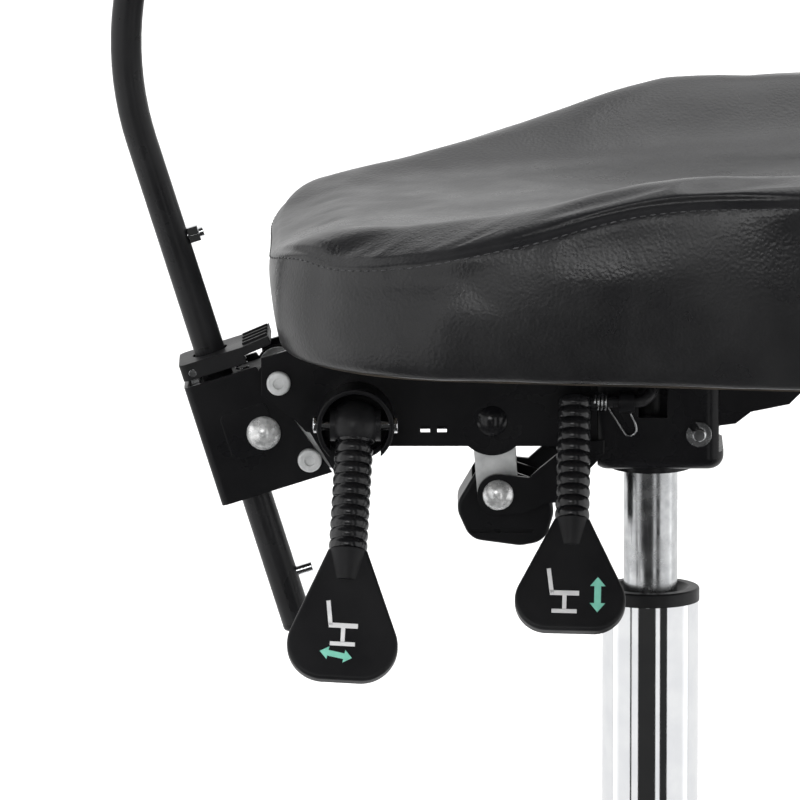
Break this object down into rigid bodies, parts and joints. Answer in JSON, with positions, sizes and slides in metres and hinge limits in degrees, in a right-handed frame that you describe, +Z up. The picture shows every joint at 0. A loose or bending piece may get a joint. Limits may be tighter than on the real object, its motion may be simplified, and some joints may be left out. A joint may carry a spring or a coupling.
{
  "type": "tattoo stool",
  "caption": "Swivel work stool with a dished black cushion on a gas column, hanging lift and lock levers, and a small back pad on a tilting, sliding bent stem.",
  "frame": {"origin": "floor point under the column's axis", "axes": "+Z up, +X from the back pad to the front edge of the seat, levers hang on the -Y side"},
  "size_m": [0.5642, 0.551, 0.8693],
  "materials": {
    "powder_black": "semi-gloss powder coat",
    "satin_black": "satin black",
    "chrome": "bright chrome plate",
    "steel": "bare and ground steel",
    "zinc": "dull zinc plate",
    "leather_black": "grained synthetic leather over foam",
    "plywood": "raw plywood",
    "sleeve_black": "glossy soft plastic",
    "plastic_black": "fine matte moulding",
    "wheel_black": "nylon wheel"
  },
  "bodies": {
    "base": {"base_hub": "chrome", "base_legs": "chrome", "column_tube": "chrome", "column_bush": "plastic_black", "column_floor": "steel"},
    "gas_rod": {"piston_rod": "steel", "rod_clip": "steel", "piston": "steel", "thrust_bearing": "steel"},
    "seat_frame": {"gas_cylinder": "steel", "seat_plate": "powder_black", "column_housing": "powder_black", "taper_socket": "steel", "front_pivot_pin": "steel", "tilt_links": "zinc", "tilt_cup": "powder_black", "link_bolt": "chrome", "hole_plugs": "sleeve_black", "hinge_rivets": "zinc", "clamp_bolt": "steel", "lock_collar": "powder_black", "cam_pin": "chrome", "lift_bearing": "powder_black", "lift_spring": "steel", "seat_board": "plywood", "seat_cushion": "leather_black", "seat_bolts": "zinc"},
    "valve": {"valve_pin": "steel"},
    "lift_lever": {"lift_rod": "satin_black", "lift_sleeve": "sleeve_black", "lift_paddle": "plastic_black"},
    "lock_lever": {"lock_cam": "satin_black", "lock_sleeve": "sleeve_black", "lock_paddle": "plastic_black"},
    "back_carrier": {"back_bracket": "powder_black", "lock_quadrants": "zinc", "quadrant_rivets": "zinc", "guide_block": "plastic_black", "guide_bolt": "chrome", "tab_pin": "steel", "tab_spring": "steel"},
    "thumb_catch": {"thumb_tab": "plastic_black", "jam_plate": "steel"},
    "back_rest": {"back_stem": "satin_black", "stem_plug": "plastic_black", "stop_screws": "chrome", "back_plate": "powder_black", "back_board": "plywood", "back_bolts": "zinc", "back_cushion": "leather_black"},
    "caster_1": {"caster_1_fork": "plastic_black"},
    "wheels_1": {"caster_1_wheels": "wheel_black"},
    "caster_2": {"caster_2_fork": "plastic_black"},
    "wheels_2": {"caster_2_wheels": "wheel_black"},
    "caster_3": {"caster_3_fork": "plastic_black"},
    "wheels_3": {"caster_3_wheels": "wheel_black"},
    "caster_4": {"caster_4_fork": "plastic_black"},
    "wheels_4": {"caster_4_wheels": "wheel_black"},
    "caster_5": {"caster_5_fork": "plastic_black"},
    "wheels_5": {"caster_5_wheels": "wheel_black"}
  },
  "joints": [
    {"name": "seat_swivel", "type": "hinge", "parent": "base", "child": "gas_rod", "pos_m": [0, 0, 0.1], "axis": [0, 0, 1], "continuous": true},
    {"name": "seat_height", "type": "slide", "parent": "gas_rod", "child": "seat_frame", "axis": [0, 0, 1], "range_m": [-0.05, 0.07]},
    {"name": "lift_lever_hinge", "type": "hinge", "parent": "seat_frame", "child": "lift_lever", "pos_m": [-0.02, -0.035, 0.4334], "axis": [-1, 0, 0], "range_deg": [0, 5]},
    {"name": "valve_slide", "type": "slide", "parent": "seat_frame", "child": "valve", "axis": [0, 0, -1], "range_m": [0, 0.0036]},
    {"name": "lock_lever_hinge", "type": "hinge", "parent": "seat_frame", "child": "lock_lever", "pos_m": [-0.153, -0.041, 0.4225], "axis": [-1, 0, 0], "range_deg": [0, 30]},
    {"name": "back_tilt", "type": "hinge", "parent": "seat_frame", "child": "back_carrier", "pos_m": [-0.1927, 0, 0.4416], "axis": [0, -1, 0], "range_deg": [0, 20]},
    {"name": "thumb_catch_hinge", "type": "hinge", "parent": "back_carrier", "child": "thumb_catch", "pos_m": [-0.23714, 0, 0.44544], "axis": [0, 1, 0], "range_deg": [0, 4], "deforming": ["tab_spring"]},
    {"name": "back_height", "type": "slide", "parent": "back_carrier", "child": "back_rest", "axis": [-0.3024, 0, 0.9532], "range_m": [-0.054, 0.044]},
    {"name": "caster_1_swivel", "type": "hinge", "parent": "base", "child": "caster_1", "pos_m": [0.27, 0, 0.07], "axis": [0, 0, 1], "continuous": true},
    {"name": "caster_1_roll", "type": "hinge", "parent": "caster_1", "child": "wheels_1", "pos_m": [0.252, 0, 0.025], "axis": [0, 1, 0], "continuous": true},
    {"name": "caster_2_swivel", "type": "hinge", "parent": "base", "child": "caster_2", "pos_m": [0.08343, 0.25678, 0.07], "axis": [0, 0, 1], "continuous": true},
    {"name": "caster_2_roll", "type": "hinge", "parent": "caster_2", "child": "wheels_2", "pos_m": [0.07787, 0.23967, 0.025], "axis": [-0.9511, 0.309, 0], "continuous": true},
    {"name": "caster_3_swivel", "type": "hinge", "parent": "base", "child": "caster_3", "pos_m": [-0.21843, 0.1587, 0.07], "axis": [0, 0, 1], "continuous": true},
    {"name": "caster_3_roll", "type": "hinge", "parent": "caster_3", "child": "wheels_3", "pos_m": [-0.20387, 0.14812, 0.025], "axis": [-0.5878, -0.809, 0], "continuous": true},
    {"name": "caster_4_swivel", "type": "hinge", "parent": "base", "child": "caster_4", "pos_m": [-0.21843, -0.1587, 0.07], "axis": [0, 0, 1], "continuous": true},
    {"name": "caster_4_roll", "type": "hinge", "parent": "caster_4", "child": "wheels_4", "pos_m": [-0.20387, -0.14812, 0.025], "axis": [0.5878, -0.809, 0], "continuous": true},
    {"name": "caster_5_swivel", "type": "hinge", "parent": "base", "child": "caster_5", "pos_m": [0.08343, -0.25678, 0.07], "axis": [0, 0, 1], "continuous": true},
    {"name": "caster_5_roll", "type": "hinge", "parent": "caster_5", "child": "wheels_5", "pos_m": [0.07787, -0.23967, 0.025], "axis": [0.9511, 0.309, 0], "continuous": true}
  ],
  "couplings": [
    {"joint": "valve_slide", "follows": "lift_lever_hinge", "m_per_rad": 0.04}
  ]
}
